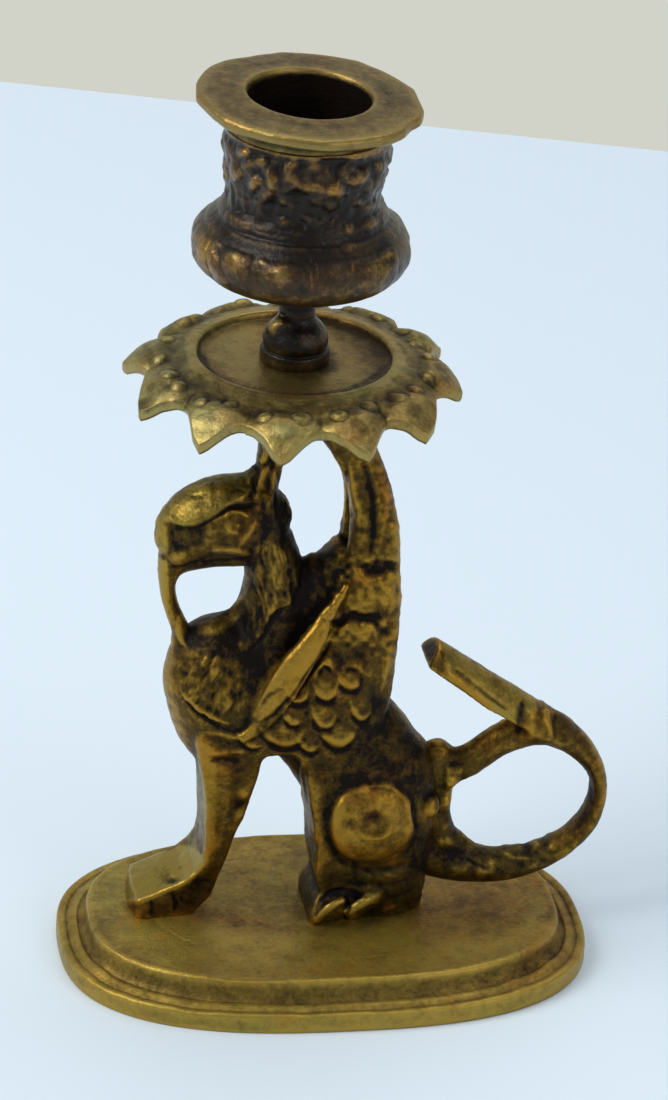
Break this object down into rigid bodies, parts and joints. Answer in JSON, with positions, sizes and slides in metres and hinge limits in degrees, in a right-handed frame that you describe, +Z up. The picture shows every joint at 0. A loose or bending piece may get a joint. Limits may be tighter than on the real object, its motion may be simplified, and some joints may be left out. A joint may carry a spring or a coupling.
{
  "type": "figural candlestick",
  "caption": "Cast brass candlestick: seated griffin on an oval plinth carrying a petalled drip pan and lobed candle cup with a lift-out nozzle; its tail forms a finger ring with a thumb rest.",
  "frame": {"origin": "middle of the overall length and depth, at table level", "axes": "+Z up, +X from the head towards the tail, +Y to the figure's right flank"},
  "size_m": [0.1049, 0.0644, 0.1753],
  "materials": {
    "plinth_brass": "aged satin brass, worn bright at the edges",
    "figure_brass": "aged brass, dark patina in the recesses",
    "pan_brass": "olive satin brass, brushed in the sunk floor",
    "dark_brass": "dark brown patina with worn gilt ridges",
    "nozzle_brass": "satin brass, hand-filed edge",
    "steel": "dull threaded steel",
    "nut_brass": "plain turned brass"
  },
  "bodies": {
    "stick": {"plinth": "plinth_brass", "griffin": "figure_brass", "tail_loop": "figure_brass", "drip_pan": "pan_brass", "collar": "dark_brass", "candle_cup": "dark_brass", "stud": "steel", "stud_nut": "nut_brass", "foot_screws": "steel", "foot_washers": "nut_brass"},
    "nozzle": {"nozzle": "nozzle_brass"}
  },
  "joints": [
    {"name": "nozzle_lift", "type": "slide", "parent": "stick", "child": "nozzle", "axis": [0, 0, 1], "range_m": [0, 0.026]}
  ]
}
